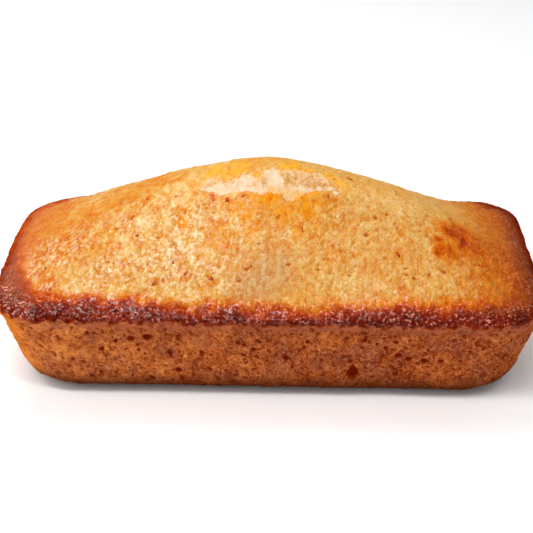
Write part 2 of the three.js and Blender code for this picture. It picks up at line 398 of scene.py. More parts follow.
TOP_PITS = [(-1.3, -14.1), (-3.1, -16.8), (3.4, -16.3), (8.0, -16.5), (12.8, -16.9), (-4.2, -18.1),
            (1.4, -10.6), (27.5, -8.7), (27.3, -11.4), (21.8, -15.0), (21.8, -15.9), (23.1, -16.1),
            (28.2, -14.4), (25.6, -15.3), (19.1, -6.6), (17.4, -7.8), (15.7, -11.1), (-35.9, -6.2),
            (-25.4, -14.3), (-26.4, -15.0), (-14.7, -13.2)]
TOP_PORE_COUNT, PORE_SEED = 170, 17
print(f"{len(FRONT_PORES)} pores in the front wall, {len(TOP_PITS)} pits in the top")

# %% Foam of the wall and of the crumb's roof
def foam(places, size, least, widest, shift=0.0):
    """Open bubbles about that far apart: 1 inside, 0 outside, below 0 on the pale skin round them."""
    inside = np.empty(len(places))
    for index, place in enumerate((places / size + shift).tolist()):
        near, middle = (found[0] for found in noise.voronoi(place))
        radius = widest * (0.5 + 1.2 * noise.noise(middle * 9.7))
        inside[index] = radius - near if radius > least else -1
    return soft_step(inside, -0.06, 0.12) - 0.4 * hill(inside + 0.16, 0.1)


small_foam = foam(bent(points, 0.9, 0.35), 0.8, 0.14, 0.5)
large_foam = foam(bent(points, 1.6, 0.6), 1.9, 0.15, 0.28, 4.0)
pore = on_wall * np.where(large_foam > 0.05, large_foam, 0.85 * small_foam)
relief -= on_wall * (0.24 * small_foam + 0.45 * np.maximum(large_foam, 0))
pore = np.maximum(pore, roof * small_foam)
relief -= roof * 0.22 * np.maximum(small_foam, 0)
print(f"foam on {np.mean(pore[on_wall > 0.5] > 0.4):.0%} of the wall")

# %% Press the single pores in
draw = random.Random(PORE_SEED)
finder = kdtree.KDTree(len(points))
for index, place in enumerate(points.tolist()):
    finder.insert(place, index)
finder.balance()
pore_list = []
cave = np.zeros(len(points))
for pore_x, pore_z, radius in FRONT_PORES:
    wall_y = -rim_width / 2 + wall_draft * (1 - pore_z / rim_height)
    pore_list.append(((pore_x, wall_y, pore_z), radius, 0.9))
    for _, index, distance in finder.find_range((pore_x, wall_y, pore_z), 1.5 * radius):
        cave[index] = max(cave[index], 1 - soft_step(distance, 0.6 * radius, 1.25 * radius))
top_candidates = np.flatnonzero((from_rim > 4) & (crumb < 0.1))
for _ in range(TOP_PORE_COUNT):
    place = points[draw.choice(top_candidates)]
    if draw.random() < soft_step(place[0], -30, 20):
        pore_list.append((place, 0.22 + 0.14 * draw.random() ** 2, 0.6))
for pit_x, pit_y in TOP_PITS:
    nearest = np.argmin(np.hypot(x[top_candidates] - pit_x, y[top_candidates] - pit_y))
    pore_list.append((points[top_candidates[nearest]], 0.34 + 0.14 * draw.random(), 0.7))
for place, radius, depth in pore_list:
    for _, index, distance in finder.find_range(place, 1.5 * radius):
        dent = (1 - soft_step(distance, 0.45 * radius, 1.25 * radius)) * min(1, 0.4 + radius)
        if dent > pore[index]:
            relief[index] -= (dent - pore[index]) * depth * radius
            pore[index] = dent
relief += on_wall * (0.12 * swells(points, 1.6, 8.8) + 0.1 * swells(points, 0.8, 2.9))
print(f"{len(pore_list)} single pores")

# %% [markdown]
# ## Browning
# The more heat a spot of crust gets, the further it goes from straw through gold, orange, rust and
# mahogany to tar. So one number per point, its browning, can stand for all those colours, and the
# material only has to turn it into the colour of that stage. Stains are soft round blots, each with a
# place on the top and a reach. A painted picture could hold them as well, but a short list is easier to
# change. The left shoulder also has a flush of freckles, which are scattered by lot.

# %% Where the stains lie
SCORCH_BLOTS = [(32.0, -6.8, 2.4), (31.2, -4.6, 2.4), (29.6, -5.6, 2.0), (27.7, -8.7, 0.9),
                (27.1, -11.3, 1.0), (28.5, -10.4, 1.9)]
FLUSHED_BLOTS = [(-27.8, -10.4, 3.0), (-25.8, -8.8, 2.0), (-31.4, -9.0, 3.6), (-30.2, -5.6, 3.2),
                 (-28.6, -2.6, 3.2), (-24.3, -0.6, 3.8), (-18.6, 0.2, 3.0), (-15.8, 0.4, 2.0),
                 (-22.8, -4.8, 2.6), (-20.0, -4.1, 1.2)]
AMBER_BLOTS = [(-11.8, -3.9, 1.0), (-9.8, -1.3, 1.4), (-8.4, -1.3, 1.4), (-7.2, -3.2, 0.9),
               (-6.2, -2.4, 1.6), (-5.0, -1.6, 1.6), (-4.2, -0.6, 1.2), (2.6, -0.6, 1.2),
               (3.9, -0.1, 1.5), (5.4, -0.5, 1.2), (6.6, -0.6, 1.0), (9.9, -0.6, 1.5), (11.1, -1.5, 1.7),
               (12.1, -2.5, 1.4), (-1.5, -8.2, 1.5), (-0.2, -8.3, 1.6), (1.0, -8.0, 1.3),
               (-3.1, -10.6, 1.5), (5.4, -7.3, 1.4), (6.9, -7.2, 1.7), (7.8, -6.6, 1.4),
               (6.3, -9.3, 1.8), (-6.1, -9.3, 1.0), (-13.4, -10.6, 1.3), (-1.6, -4.0, 1.1),
               (0.5, -6.2, 0.9), (-8.6, 0.6, 1.4), (-5.4, 0.9, 1.4), (3.8, 1.6, 1.2)]
FRECKLE_COUNT, FRECKLE_SEED = 75, 27
FRECKLE_ALONG, FRECKLE_ACROSS, FRECKLE_REACH = (-37, -17), (-9, 8), (0.6, 1.3)
# Places of a paler, greyer patch at the front of the top.
PALE_GREY_BLOTS = [(-0.6, -17.8, 3.2), (-3.5, -18.6, 2.4), (2.4, -16.8, 2.6)]
FLECK_PLACES = [(-6.5, -8.2), (-9.9, -8.6), (-13.4, -8.8), (-8.9, -6.9), (0.5, -7.8), (-4.1, -7.8),
                (9.6, -6.1), (13.2, 0.9), (5.5, -11.9), (11.4, -14.1), (9.5, -15.3), (-12.8, -17.2),
                (-17.5, -18.2), (-20.0, -4.1), (-21.0, -11.1), (-22.1, -7.7), (21.1, -18.0),
                (20.6, -13.2), (-8.6, -17.8), (-8.4, -17.0)]


def blots(spots, drawn_out=1.0):
    """Soft stains on the top: 1 in their middles, drawn out up the slope by that factor."""
    stain = np.zeros(len(points))
    for spot_x, spot_y, reach in spots:
        away = np.hypot(x - spot_x, (y - spot_y) / drawn_out)
        stain = np.maximum(stain, hill(away, reach))
    return np.where(height > rim_height, stain, 0)


luck = random.Random(FRECKLE_SEED)
freckles = []
for _ in range(FRECKLE_COUNT):
    freckles.append([luck.uniform(*span) for span in (FRECKLE_ALONG, FRECKLE_ACROSS, FRECKLE_REACH)])
scorch = blots(SCORCH_BLOTS) * np.clip(0.85 + 0.8 * swells(points, 1.4, 2.2), 0, 1)
flush = blots(FLUSHED_BLOTS) * np.clip(0.9 + 0.9 * swells(points, 1.6, 2.2), 0, 1.3)
flush = np.maximum(flush, 0.85 * blots(freckles, drawn_out=1.8))
stain = blots([(*place, 0.8) for place in FLECK_PLACES])
pale_grey_patch = blots(PALE_GREY_BLOTS) * soft_step(from_rim, 2.5, 4.5)
print(f"{len(SCORCH_BLOTS)} scorched blots, {len(AMBER_BLOTS)} amber ones, {FRECKLE_COUNT} freckles")

# %% [markdown]
# ## Heat of the rim
# The thin rim gets most heat, and its dark colour creeps up the dome with a ragged border, furthest at
# the left front corner and the right end. A painted band would look too even, so the border is a distance
# from the rim that noise pushes to and fro. Scorched blots and flecks add to the browning, a few broad
# patches of the top came out paler or darker than the rest, and the back of the rim stayed lighter.

# %% How far each point has browned
GOLD_STAGE, RIM_RISE = 0.25, 0.495
BROAD_PATCHES = [(-18, -9, 11, -0.035), (30, -8, 5, 0.03), (16, -2, 7, -0.04), (20, -11, 11, 0.014),
                 (-30, -8, 8, -0.01), (-28, -4, 7, -0.012), (-34, 3, 7, 0.025), (36, 4, 7, -0.035),
                 (-17, -6, 5, -0.02)]
left_corner = soft_step(-x, 30, 42) * soft_step(-y, 2, 16)
right_end = soft_step(x, 26, 45)
creep = 0.8 * swells(points, 5.0, 1.2) + 0.9 * swells(points, 1.8, 6.6)
creep += 2.8 * left_corner + 1.2 * right_end
creep += at_front * (0.8 * soft_step(-x, 10, 34) + 0.6 * soft_step(x, 12, 30) - 0.7 * hill(x, 12))
creep += 0.55 * at_front * hill(x + 24, 10)
rim_heat = 0.55 + 0.45 * np.maximum(soft_step(-y, 2, 18), soft_step(x, 22, 42))
rim_share = soft_step(creep - from_rim, -5.2, -0.2) * rim_heat
less = (1 - rim_share) * (1 - 0.62 * right_end) * (1 - 0.34 * soft_step(-x, 30, 44))
less *= (1 - 0.6 * scorch) * (1 - 0.2 * stain)
tar_spots = soft_step(swells(points, 3.0, 4.9), 0.2, 0.4) * soft_step(from_rim, 2.2, 0.8)
browning = GOLD_STAGE + RIM_RISE * (1 - less) + 0.04 * tar_spots * rim_share
browning += 0.04 * swells(points, 7.0, 5.1) + 0.035 * wormy * on_top + 0.1 * flush
browning += 0.006 * on_top * crest * hill(x - 6, 20)
browning += on_lip * at_front * (0.03 + 0.04 * hill(x, 14) + 0.01 * soft_step(x, 5, 30))
for patch_x, patch_y, reach, change in BROAD_PATCHES:
    browning += change * hill(np.hypot(x - patch_x, y - patch_y), reach)
print(f"browning from {browning.min():.2f} to {browning.max():.2f}")

# %% [markdown]
# ## Amber, gloss, pearls, sugar and painted glints
# Sugar that ran together stays clear as amber, and swells a little. Butter leaves a thin glaze on the
# beads of the rim and on patches of the top. The puckered grains turn pale at their tips like pearls,
# which also carry painted highlights, and painted glints, partly specks of sugar, lie along the rim and at
# the right end. Each of these could be a material of its own, but they overlap, so each is a share per
# point, which the one material can blend.

# %% Shares of amber and gloss
amber = soft_step(blots(AMBER_BLOTS), 0.0, 1.0)
honey_wash = soft_step(swells(points, 2.6, 7.1), -0.2, 0.4) * hill(np.hypot((x + 1) / 1.5, y + 11), 7)
amber = np.maximum(amber, 0.8 * on_top * honey_wash * (1 - crumb))
relief += 0.22 * amber * swells(points, 1.5, 5.8) * (1 - crumb)
near_rim = at_front * (1 - soft_step(from_rim, 4, 8))
near_rim *= 1 - 0.5 * soft_step(x, 5, 30)
glazed = soft_step(swells(points, 0.9, 3.7), 0.0, 0.25)
glazed *= np.maximum(0.35 + 0.65 * soft_step(-x, -20, 25), near_rim)
on_beads = beaded * soft_step(bead, 0.32, 0.68) * soft_step(from_rim, -0.5, 0.2) * soft_step(-y, 0, 16)
on_beads *= 0.54 - 0.38 * soft_step(x, 5, 30)
sheen = on_top * (0.08 + 0.5 * glazed) * (1 - 0.4 * right_end)
sheen *= (1 - 0.8 * np.maximum(calm, soft_step(-x, 32, 40))) * (1 - 0.6 * amber)
sticky = np.clip((on_beads + sheen) * (1 - crumb) * (1 - np.maximum(pore, 0)), 0, 1)
sticky *= 1 - 0.5 * soft_step(browning, 0.78, 0.92)
print(f"amber on {np.mean(amber[on_top > 0.5] > 0.5):.0%} of the top")

# %% Shares of mottling, of pearls with painted highlights, and of painted glints
quiet = np.maximum(calm, crest * (0.7 - 0.1 * soft_step(-x, 14, 30)))
mottled = (1 - 0.45 * soft_step(x, -6, 12)) * (1 - 0.35 * crest)
# Where pearls lie: pale grain tips that also carry painted highlights.
fewer_glinting_pearls = 0.22 * on_top * soft_step(x, 2, 16) * (1 - 0.6 * crest)
fewer_glinting_pearls *= 1 - soft_step(browning, 0.27, 0.42)
most_glinting_pearls = wormy * soft_step(from_rim, 3.2, 6) * (1 - calm) * (1 - soft_step(browning, 0.36, 0.5))
most_glinting_pearls *= 1 - 0.5 * flush
# Where painted glints, partly sugar, are added as light: along the front rim and at the right end.
sugar_glint_share = soft_step(from_rim, -0.4, 0.3) * (1 - soft_step(from_rim, 2.6, 5.8)) * soft_step(-y, 5, 16)
sugar_glint_share *= 1 + 0.8 * left_corner
sugar_glint_share = np.maximum(sugar_glint_share, 0.55 * on_top * right_end)
glinting_pearl_places = np.maximum(most_glinting_pearls, fewer_glinting_pearls)
print(f"pearls on {np.mean(glinting_pearl_places[on_top > 0.5] > 0.15):.0%} of the top")

# %% [markdown]
# ## Relief, masks and UV map
# Everything so far is a height and a few shares per point. The heights could go into a displacement node,
# but then only one renderer would see them, so the points themselves are moved along their normals. The
# shares become attributes, which the material reads by name. The UV map lays the top, four strips of wall
# and the base side by side on one sheet, for whoever bakes the colours into a picture.

# %% Move the points and hand over the shares
raised = points + normals * relief[:, None]
raised[:, 2] = np.maximum(raised[:, 2], 0)
crust_mesh.vertices.foreach_set("co", (raised * MM).ravel())
crust_mesh.update()
MASKS = {
    "from_rim": from_rim, "wall": on_wall, "lip": beaded, "quiet": quiet, "mottled": mottled,
    "crumb": crumb, "tanned": np.maximum(0.25 * tanned, 0.95 * roof), "roof": roof, "yolky": yolky,
    "pore": pore, "cave": cave, "browning": browning, "amber": amber,
    "sticky": sticky, "sugar_glint_share": sugar_glint_share, "pale_grey_patch": pale_grey_patch, "dull": right_end * on_top,
    "bare": on_top * soft_step(-x, 33, 43), "grain": np.where(on_lip > on_top, bead, grain),
    "glinting_pearl_places": glinting_pearl_places,
    "rough": np.maximum(on_top * (1 - 0.6 * quiet), beaded),
}
for name, values in MASKS.items():
    attribute = crust_mesh.attributes.new(name, "FLOAT", "POINT")
    attribute.data.foreach_set("value", values.astype(np.float32))
print(f"relief from {relief.min():.2f} to {relief.max():.2f} mm, {len(MASKS)} shares")

# %% Unroll the cake, and make it the piece
SHEET = 113.0
TOP_HALF, TOP_MIDDLE = (45, 29), (46, 30)
STRIP_STEP, STRIP_HEIGHT = 0.29, 20.0
SIDE_CORNERS = np.array([(1.0, 61.0), (92.0, 1.0), (1.0, 82.0), (92.0, 43.0)])
BASE_SCALE, BASE_MIDDLE = 0.3, (60, 107)
top_uv = np.stack([along, across], -1) * TOP_HALF + TOP_MIDDLE
top_uv = top_uv.reshape(-1, 2)[top_faces]
ring_rows = len(ring_index) - 1
side_starts = np.cumsum([0, along_steps, across_steps, along_steps])
column = np.tile(np.arange(around_steps), ring_rows)
row = np.repeat(np.arange(ring_rows), around_steps)
side = np.searchsorted(side_starts, column, side="right") - 1
corner_column = (column - side_starts[side])[:, None] + np.array([0, 0, 1, 1])
corner_row = row[:, None] + np.array([0, 1, 1, 0])
strip = np.stack([corner_column * STRIP_STEP, corner_row * STRIP_HEIGHT / ring_rows], -1)
upright = (side % 2 == 1)[:, None, None]
wall_uv = SIDE_CORNERS[side][:, None, :] + np.where(upright, strip[..., ::-1], strip)
base_uv = points[base_faces][..., :2] * BASE_SCALE + BASE_MIDDLE
uv = np.concatenate([top_uv.reshape(-1, 2), wall_uv.reshape(-1, 2), base_uv.reshape(-1, 2)]) / SHEET
crust_mesh.uv_layers.new(name="OFBake").data.foreach_set("uv", uv.astype(np.float32).ravel())

cake = bpy.data.objects.new("financier_crust", crust_mesh)
bpy.context.scene.collection.objects.link(cake)
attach(cake, "root")
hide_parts(NODE)
print(f"UV map from {uv.min():.3f} to {uv.max():.3f}")

# %% [markdown]
# ## The crust's material
# One material covers the whole cake, because on the real one the zones melt into each other. The top's
# browning and the wall's tone each go through a colour ramp, fine noise frays both, and the shares of the
# mesh say where top, wall and crumb take over from each other. Nodes could be placed by hand in the
# editor. Here a few helpers add them, so that each line of the recipe reads as one step.

# %% Helpers for building a material
def light(red, green, blue):
    """A colour given as on screen, from 0 to 255, in the linear values that shaders use."""
    shares = np.array([red, green, blue]) / 255
    linear = np.where(shares <= 0.04045, shares / 12.92, ((shares + 0.055) / 1.055) ** 2.4)
    return (*linear.tolist(), 1.0)


def plug(tree, value, socket):
    """Links an output to the socket, or sets the socket to a plain value."""
    if isinstance(value, bpy.types.NodeSocket):
        tree.links.new(value, socket)
    else:
        socket.default_value = value


def put(tree, kind, settings=None, **inputs):
    """Adds a node, with its settings, and links or sets its inputs."""
    made = tree.nodes.new("ShaderNode" + kind)
    for name, value in (settings or {}).items():
        setattr(made, name, value)
    for name, value in inputs.items():
        plug(tree, value, made.inputs[name.replace("_", " ")])
    return made


def mask(tree, name):
    """Reads one of the mesh's shares."""
    return put(tree, "Attribute", {"attribute_name": name}).outputs["Fac"]


MID_GREY = 128
print(f"mid grey on screen is {light(MID_GREY, MID_GREY, MID_GREY)[0]:.2f} of full light")


# %% Helpers for mixing colours and values
def over(tree, share, under, upper, way="MIX"):
    """Lays one colour over another."""
    made = put(tree, "Mix", {"data_type": "RGBA", "blend_type": way})
    plug(tree, share, made.inputs[0])
    plug(tree, under, made.inputs[6])
    plug(tree, upper, made.inputs[7])
    return made.outputs[2]


def sums(tree, way, first, second=0.0):
    """One step of arithmetic on two values."""
    made = put(tree, "Math", {"operation": way})
    plug(tree, first, made.inputs[0])
    plug(tree, second, made.inputs[1])
    return made.outputs[0]


def times(tree, first, second):
    return sums(tree, "MULTIPLY", first, second)


def plus(tree, first, second):
    return sums(tree, "ADD", first, second)


def spread(tree, value, low, high, to_low=0.0, to_high=1.0):
    """Stretches a range of values to another, smoothly, and cuts off what is outside."""
    made = put(tree, "MapRange", {"interpolation_type": "SMOOTHSTEP"}, Value=value)
    for name, number in {"From Min": low, "From Max": high, "To Min": to_low, "To Max": to_high}.items():
        made.inputs[name].default_value = number
    return made.outputs["Result"]


def stages(tree, value, colours):
    """A colour ramp: each stage is a position and a colour as on screen."""
    made = put(tree, "ValToRGB", Fac=value)
    ramp = made.color_ramp
    while len(ramp.elements) < len(colours):
        ramp.elements.new(0.5)
    for element, (position, colour) in zip(ramp.elements, colours):
        element.position = position
        element.color = light(*colour)
    return made.outputs["Color"]


print("mixing, arithmetic and colour ramps are ready")


# %% Helpers for patterns
def cloud(tree, size, detail=3.0, roughness=0.55, bias=0.0, upslope=1.0):
    """Noise with features of that size in millimetres, from 0 to 1, drawn out up the slope if asked."""
    where = put(tree, "TexCoord").outputs["Object"]
    where = put(tree, "Mapping", Vector=where, Scale=(1, upslope, upslope)).outputs["Vector"]
    made = put(tree, "TexNoise", {"noise_dimensions": "4D"}, Vector=where, W=bias, Scale=1 / (size * MM))
    made.inputs["Detail"].default_value = detail
    made.inputs["Roughness"].default_value = roughness
    return made.outputs["Fac"]


def bubbles(tree, size, feature="F1"):
    """Distance to the nearest of dots about that far apart, bent by noise, and a lot for each dot."""
    where = put(tree, "TexCoord").outputs["Object"]
    push = put(tree, "TexNoise", Vector=where, Scale=0.8 / (size * MM)).outputs["Color"]
    made = put(tree, "VectorMath", {"operation": "MULTIPLY_ADD"})
    plug(tree, push, made.inputs[0])
    made.inputs[1].default_value = [1.2 * size * MM] * 3
    plug(tree, where, made.inputs[2])
    dots = put(tree, "TexVoronoi", {"feature": feature}, Vector=made.outputs[0], Scale=1 / (size * MM))
    lot = put(tree, "SeparateColor", Color=dots.outputs["Color"]).outputs["Red"]
    return dots.outputs["Distance"], lot


def open_bubbles(tree, size, widest):
    """Small holes about that far apart and of uneven width: 1 inside, 0 outside."""
    distance, lot = bubbles(tree, size)
    past_edge = sums(tree, "SUBTRACT", distance, times(tree, lot, widest))
    return spread(tree, past_edge, -0.08, 0.0, 1.0, 0.0)


def threads(tree, size, width, bias):
    """Thin wandering lines about that far apart: 1 on a line, 0 beside it."""
    from_line = sums(tree, "ABSOLUTE", sums(tree, "SUBTRACT", cloud(tree, size, 3, 0.6, bias), 0.5))
    return spread(tree, from_line, 0.0, width, 1.0, 0.0)


print("clouds, bubbles and threads are ready")

# %% [markdown]
# ## Colour of the top
# Browning decides the colour of the top, and four sizes of noise are added to it first, so that the top
# is freckled like a baked one instead of shading evenly. Amber, a paler greyish patch at the front and the
# dull right end are then laid over it as glazes. Creases between the grains are multiplied darker as
# painted shade, pearls are mixed towards cream, partly pale crust and partly painted highlights, and
# painted glints, partly sugar, are added as light, which is what each of them does to the eye.

# %% Browned top
crust = bpy.data.materials.new("financier_crust")
crust.use_nodes = True
tree = crust.node_tree
shader = tree.nodes["Principled BSDF"]

BROWNING = [(0.0, (248, 222, 166)), (0.25, (212, 158, 74)), (0.37, (210, 126, 30)), (0.48, (198, 92, 8)),
            (0.6, (162, 55, 9)), (0.72, (127, 33, 8)), (0.84, (89, 19, 7)), (1.0, (40, 11, 8))]
AMBER, BURNT_AMBER, HONEY = (230, 148, 2), (216, 120, 3), (233, 166, 48)
PALE_GREY_TAN, DULL, BARE = (188, 150, 112), (144, 88, 36), (190, 128, 96)
# Painted light among these: the crease colour is painted shade, cream is partly a painted highlight, and
# sugar is a painted glint.
CREASE_SHADE, CREAM_AND_HIGHLIGHT, PAINTED_SUGAR_GLINT = (238, 182, 100), (255, 240, 204), (216, 150, 128)
lively = sums(tree, "SUBTRACT", 1.0, times(tree, mask(tree, "quiet"), 0.7))
speckle = spread(tree, cloud(tree, 0.52, 3, 0.65, 2.5, UPSLOPE), 0.25, 0.75, 0.1, -0.1)
speckle = times(tree, speckle, times(tree, lively, mask(tree, "mottled")))
dots = spread(tree, cloud(tree, 0.3, 2, 0.6, 14.0, UPSLOPE), 0.25, 0.75, 0.05, -0.05)
speckle = plus(tree, speckle, times(tree, dots, lively))
mottle = spread(tree, cloud(tree, 2.1, 2, 0.5, 5.0, UPSLOPE), 0.25, 0.75, 0.07, -0.07)
blotch = spread(tree, cloud(tree, 1.1, 2, 0.5, 23.0, UPSLOPE), 0.25, 0.75, 0.06, -0.06)
mottle = times(tree, plus(tree, mottle, blotch), mask(tree, "mottled"))
stage = plus(tree, mask(tree, "browning"), plus(tree, speckle, mottle))
top = stages(tree, stage, BROWNING)
object_place = put(tree, "TexCoord").outputs["Object"]
axes = put(tree, "SeparateXYZ", Vector=object_place)
sideways, backwards = axes.outputs["X"], axes.outputs["Y"]
amber_patches = spread(tree, cloud(tree, 1.5, bias=3.0), 0.25, 0.55)
amber_share = times(tree, mask(tree, "amber"), amber_patches)
burnt = spread(tree, cloud(tree, 1.1, 3, 0.6, bias=17.0), 0.5, 0.68)
honey = over(tree, burnt, light(*AMBER), light(*BURNT_AMBER))
honey = over(tree, spread(tree, backwards, -6.5 * MM, -4.0 * MM), honey, light(*HONEY))
top = over(tree, amber_share, top, honey)
# A paler, greyer patch at the front of the top, near the rim.
top = over(tree, times(tree, mask(tree, "pale_grey_patch"), 0.5), top, light(*PALE_GREY_TAN))
top = over(tree, times(tree, mask(tree, "dull"), 0.42), top, light(*DULL))
top = over(tree, times(tree, mask(tree, "bare"), 0.3), top, light(*BARE))
print(f"{len(BROWNING)} stages of browning, then amber and dust")

# %% Painted shade in the creases, pale tips with painted highlights, and painted glints
# Painted shade: the creases between the grains are multiplied darker, as if in shadow.
crease_shade = spread(tree, mask(tree, "grain"), 0.0, 0.55, 0.75, 0.0)
small_crease_shade = spread(tree, cloud(tree, 0.6, 2, 0.6, 9.0, UPSLOPE), 0.3, 0.5, 0.5, 0.0)
crease_shade = plus(tree, crease_shade, small_crease_shade)
top = over(tree, times(tree, crease_shade, mask(tree, "rough")), top, light(*CREASE_SHADE), "MULTIPLY")
# Pearls and tips: pale crust on the grains, with painted highlights on their tops.
glinting_pearls = spread(tree, cloud(tree, 0.56, 2, 0.5, 6.0, UPSLOPE), 0.45, 0.64)
glinting_pearls = times(tree, glinting_pearls, mask(tree, "glinting_pearl_places"))
tips_and_highlights = spread(tree, mask(tree, "grain"), 0.5, 1.0, 0.0, 0.35)
tips_and_highlights = times(tree, tips_and_highlights, mask(tree, "glinting_pearl_places"))
pale_and_highlight_share = sums(tree, "MAXIMUM", times(tree, glinting_pearls, 0.55), tips_and_highlights)
top = over(tree, pale_and_highlight_share, top, light(*CREAM_AND_HIGHLIGHT))
# Painted glints: light specks added along the rim and at the right end, partly sugar.
painted_sugar_glints = spread(tree, cloud(tree, 0.48, 2, 0.5, bias=18.0), 0.53, 0.66)
glint_clumps = spread(tree, cloud(tree, 1.8, 2, 0.5, bias=24.0), 0.38, 0.58, 0.22, 0.64)
painted_sugar_glints = times(tree, painted_sugar_glints, glint_clumps)
top = over(tree, times(tree, painted_sugar_glints, mask(tree, "sugar_glint_share")), top, light(*PAINTED_SUGAR_GLINT), "ADD")
print("creases darkened, tips paled, sugar glinting along the rim")

# %% [markdown]
# ## Colour of the wall
# The wall fried against the buttered mould, so it is orange-brown. Its tone runs from lightest at the left
# end to darkest at the right. Clouds of four sizes break it up, and thin pale threads of crumb run between
# the bubbles. The foam in the mesh gives the larger pores. The smallest ones are finer than the mesh, so
# the material adds them. Painted light lies over it too: a purple-grey sheen in patches and under the lip,
# a lit left end, and painted shade towards the bottom.

# %% Tones and threads of the wall
WALL_TONES = [(0.0, (224, 136, 68)), (0.3, (176, 84, 32)), (0.5, (142, 56, 16)), (0.75, (110, 34, 7)),
              (1.0, (76, 20, 4))]
WALL_CLOUDS = [(5.0, 3, 0.55, 1.0, 0.12), (2.0, 2, 0.5, 6.5, 0.09), (0.9, 3, 0.7, 2.0, 0.15),
               (0.45, 2, 0.6, 21.0, 0.1)]
# The wall's sheen, its lighter left end, the band under the lip and its darker bottom are painted light
# and shade.
WALL_PORE, WALL_THREAD, PAINTED_WALL_SHEEN = (126, 30, 3), (226, 142, 86), (140, 72, 52)
PAINTED_END_LIGHT, PAINTED_FOOT_SHADE, UNDER_LIP_SHEEN = (238, 132, 26), (80, 28, 8), (166, 89, 66)
WALL_THREADS = [(1.4, 0.035, 7.5, 0.42), (0.75, 0.04, 19.0, 0.34)]

tone = spread(tree, sideways, -48 * MM, 12 * MM, 0.13, 0.43)
for size, detail, roughness, bias, reach in WALL_CLOUDS:
    patches = spread(tree, cloud(tree, size, detail, roughness, bias), 0.3, 0.7, -reach, reach)
    tone = plus(tree, tone, patches)
wall = stages(tree, tone, WALL_TONES)
# Painted sheen: purple-grey patches where light would glance off the wall.
painted_sheen = spread(tree, cloud(tree, 4.5, 2, bias=4.5), 0.43, 0.64, 0.0, 0.6)
wall = over(tree, painted_sheen, wall, light(*PAINTED_WALL_SHEEN))
for size, width, bias, share in WALL_THREADS:
    wall = over(tree, times(tree, threads(tree, size, width, bias), share), wall, light(*WALL_THREAD))
print(f"{len(WALL_TONES)} tones of the wall, {len(WALL_CLOUDS)} sizes of patches")

# %% Pores and edges of the wall
pinpricks = times(tree, open_bubbles(tree, 0.7, 0.4), 0.5)
wide_bubbles = open_bubbles(tree, 1.3, 0.44)
small_bubbles = sums(tree, "MAXIMUM", pinpricks, wide_bubbles)
bubble_skin = sums(tree, "SUBTRACT", open_bubbles(tree, 1.3, 0.6), wide_bubbles)
wall = over(tree, times(tree, bubble_skin, 0.3), wall, light(*WALL_THREAD))
pore_skin = spread(tree, mask(tree, "pore"), -0.02, -0.3, 0.0, 0.45)
wall = over(tree, pore_skin, wall, light(*WALL_THREAD))
uneven = spread(tree, cloud(tree, 1.2, 2, 0.5, bias=22.0), 0.3, 0.6, 0.45, 1.0)
hollow_share = spread(tree, mask(tree, "pore"), 0.2, 0.95, 0.0, 0.85)
wall = over(tree, times(tree, hollow_share, uneven), wall, light(*WALL_PORE))
bubble_share = times(tree, times(tree, small_bubbles, 0.75), uneven)
wall = over(tree, bubble_share, wall, light(*WALL_PORE))
wall = over(tree, spread(tree, mask(tree, "cave"), 0.2, 0.8, 0.0, 0.95), wall, light(*WALL_PORE))
# Painted shade: darker towards the bottom, where the wall rounds under.
foot_shade = spread(tree, mask(tree, "from_rim"), -10.0, -15.4, 0.0, 0.9)
wall = over(tree, foot_shade, wall, light(*PAINTED_FOOT_SHADE))
# Painted sheen: a purple-grey band that lightens the shaded underside of the lip.
under_lip_sheen = spread(tree, mask(tree, "from_rim"), -3.0, -1.0, 0.0, 0.7)
streaks = spread(tree, cloud(tree, 1.2, 4, 0.7, bias=15.0), 0.38, 0.6, 0.1, 1.0)
wall = over(tree, times(tree, under_lip_sheen, streaks), wall, light(*UNDER_LIP_SHEEN))
# Painted light: the left end of the wall lightened to orange, as if lit from the left.
painted_end_light = spread(tree, sideways, -37 * MM, -43 * MM, 0.0, 0.75)
painted_end_light = times(tree, painted_end_light, spread(tree, backwards, -4 * MM, -18 * MM, 0.15, 1.0))
wall = over(tree, painted_end_light, wall, light(*PAINTED_END_LIGHT))
PINHOLE = (176, 84, 0)
fraying = spread(tree, cloud(tree, 1.5, 4), 0.3, 0.7, -0.6, 0.6)
frayed = plus(tree, mask(tree, "from_rim"), fraying)
colour = over(tree, spread(tree, frayed, -1.0, 0.1), wall, top)
top_pore = sums(tree, "SUBTRACT", mask(tree, "pore"), mask(tree, "wall"))
colour = over(tree, spread(tree, top_pore, 0.2, 0.7, 0.0, 0.95), colour, light(*PINHOLE))
print("pores opened in the wall and the top")

# %% [markdown]
# ## Colour of the crumb
# Crumb that the crust sheltered until late is nearly white, and tans where it lay open. Two clouds mix
# those two colours, the roof at the right gets brown holes, and the tongue in front of it the colour of
# yolk. The edge against the crust is frayed by noise, since a torn edge is never smooth.

# %% Crumb in the split
CRUMB, CRUMB_TAN = (230, 201, 169), (210, 153, 84)
CRUMB_HOLE, CRUMB_YOLK = (190, 124, 50), (224, 176, 104)
crumb_cloud = spread(tree, cloud(tree, 0.8, 4, 0.7, bias=4.0), 0.3, 0.7, -0.35, 0.45)
crumb_patch = spread(tree, cloud(tree, 2.6, 2, 0.5, bias=8.5), 0.4, 0.65, -0.3, 0.4)
crumb_tone = plus(tree, mask(tree, "tanned"), crumb_cloud)
crumb_tone = plus(tree, crumb_tone, crumb_patch)
crumb_colour = over(tree, spread(tree, crumb_tone, 0.0, 1.0), light(*CRUMB), light(*CRUMB_TAN))
yolk_share = times(tree, mask(tree, "yolky"), 0.75)
crumb_colour = over(tree, yolk_share, crumb_colour, light(*CRUMB_YOLK))
roof_hole = times(tree, mask(tree, "pore"), mask(tree, "roof"))
crumb_colour = over(tree, spread(tree, roof_hole, 0.2, 0.8, 0.0, 0.55), crumb_colour, light(*CRUMB_HOLE))
